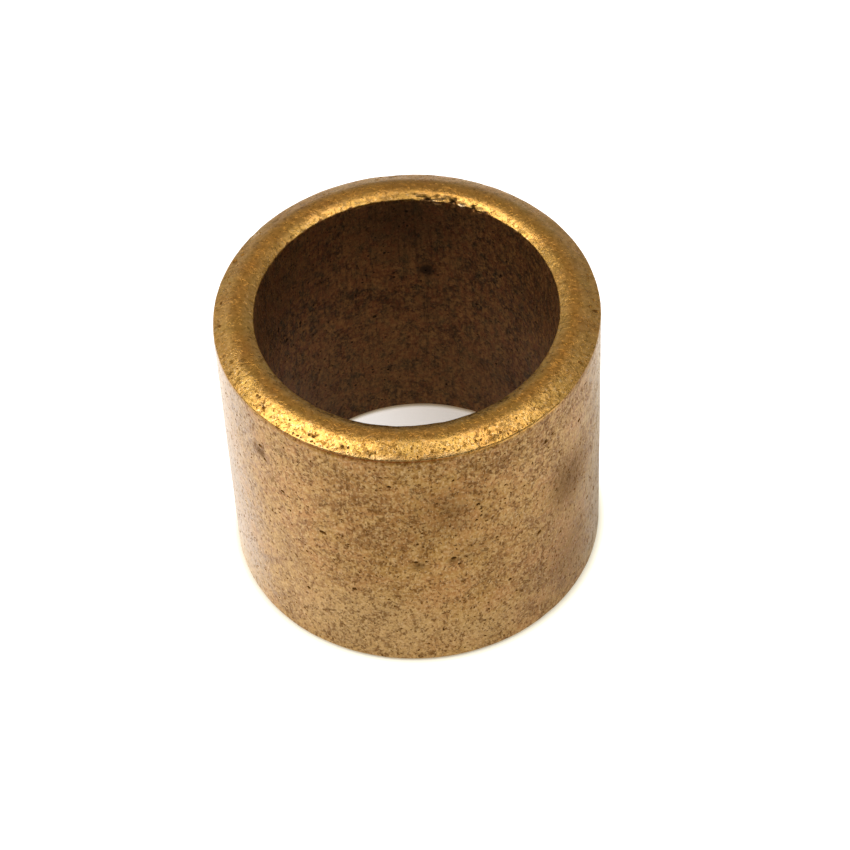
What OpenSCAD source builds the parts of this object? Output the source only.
// Plain sleeve bushing, pressed and sintered from bronze powder.
//
// One solid ring: a shaft runs in its bore and its outside wall is pressed
// into a housing. There is no flange, groove or oil hole: the oil sits in
// the pores of the metal.
//
// Frame: the origin is on the centre line of the bore, in the plane of the
// lower end face. +Z runs along the bore, from the lower end to the upper
// end. Lengths are in millimetres.

/* [Main sizes] */

// Outside diameter, the size that is pressed into the housing (7/8 in)
outside_diameter = 22.225; // [22:0.025:26]

// Bore diameter, the size that runs on the shaft (11/16 in)
bore_diameter = 17.4625; // [14:0.0125:17.8]

// Length from end face to end face (3/4 in)
sleeve_length = 19.05; // [8:0.05:40]

/* [Upper end] */

// Radial width of the lead-in chamfer, outside edge of the upper end
lead_in_width = 1.05; // [0.4:0.05:1.2]

// How far the lead-in chamfer falls below the upper end face
lead_in_drop = 0.55; // [0.1:0.05:1]

/* [Lower end] */

// Radial width of the chamfer on the outside edge of the lower end
lower_chamfer_width = 0.4; // [0.2:0.05:1.2]

// How far the lower chamfer rises above the lower end face
lower_chamfer_drop = 0.15; // [0.1:0.05:1]

/* [Bore mouths] */

// Radial width of the chamfer at each mouth of the bore
bore_chamfer_width = 0.55; // [0.2:0.05:0.8]

// Depth of the chamfer at each mouth of the bore
bore_chamfer_drop = 0.3; // [0.1:0.05:1]

/* [Smoothness] */

// Number of facets around the sleeve
facets = 240; // [64:8:480]

/* [Hidden] */

bronze = [0.66, 0.48, 0.29];

outer_radius = outside_diameter / 2;
bore_radius = bore_diameter / 2;
mouth_radius = bore_radius + bore_chamfer_width; // where bore chamfers meet the end faces

// Half section of the wall as [radius, height] points, counterclockwise
// from the bottom of the straight bore
wall_section = [
    // Lower end
    [bore_radius, bore_chamfer_drop],
    [mouth_radius, 0],
    [outer_radius - lower_chamfer_width, 0],
    [outer_radius, lower_chamfer_drop],
    // Upper end
    [outer_radius, sleeve_length - lead_in_drop],
    [outer_radius - lead_in_width, sleeve_length],
    [mouth_radius, sleeve_length],
    [bore_radius, sleeve_length - bore_chamfer_drop],
];

// The whole bushing: one revolved wall
module sleeve() {
    color(bronze)
        rotate_extrude($fn = facets)
            polygon(wall_section);
}

sleeve();
